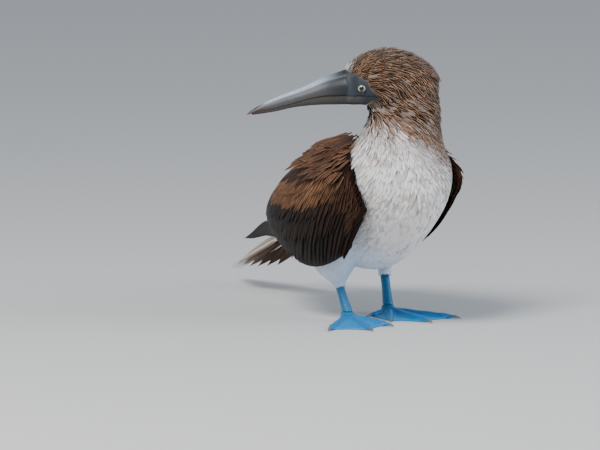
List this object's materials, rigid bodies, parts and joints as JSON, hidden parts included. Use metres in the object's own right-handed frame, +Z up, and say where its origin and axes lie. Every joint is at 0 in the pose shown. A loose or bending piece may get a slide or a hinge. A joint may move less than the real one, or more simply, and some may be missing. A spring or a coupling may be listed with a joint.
{
  "type": "blue-footed booby",
  "caption": "Standing seabird with a long pointed bill turned to its right, folded dark brown wings, a white breast, a pointed tail and bright blue webbed feet flat on the floor.",
  "frame": {"origin": "on the floor, below the centre of the bounding box", "axes": "+Z up, -Y the way the body faces, +X the bird's left"},
  "size_m": [0.2326, 0.4684, 0.2802],
  "materials": {
    "head_plumage": "buff and brown streaked feathers",
    "white_plumage": "soft white feathers",
    "wing_plumage": "dark brown vaned feathers, slight sheen",
    "tail_plumage": "grey-brown vaned feathers, pale in the middle",
    "bill": "blue-grey horn, satin",
    "blue_skin": "bright blue scaled skin, satin",
    "claw": "blue-grey horn",
    "eye": "wet gloss, pale yellow iris round a black pupil"
  },
  "bodies": {
    "root": {"head": "head_plumage", "neck": "head_plumage", "torso": "white_plumage", "upper_bill": "bill", "lower_bill": "bill", "left_eye": "eye", "left_wing": "wing_plumage", "left_thigh": "white_plumage", "left_shank": "blue_skin", "left_foot": "blue_skin", "left_hallux_claw": "claw", "left_inner_toe_claw": "claw", "left_middle_toe_claw": "claw", "left_outer_toe_claw": "claw", "right_eye": "eye", "right_wing": "wing_plumage", "right_thigh": "white_plumage", "right_shank": "blue_skin", "right_foot": "blue_skin", "right_hallux_claw": "claw", "right_inner_toe_claw": "claw", "right_middle_toe_claw": "claw", "right_outer_toe_claw": "claw", "tail": "tail_plumage"}
  },
  "joints": []
}
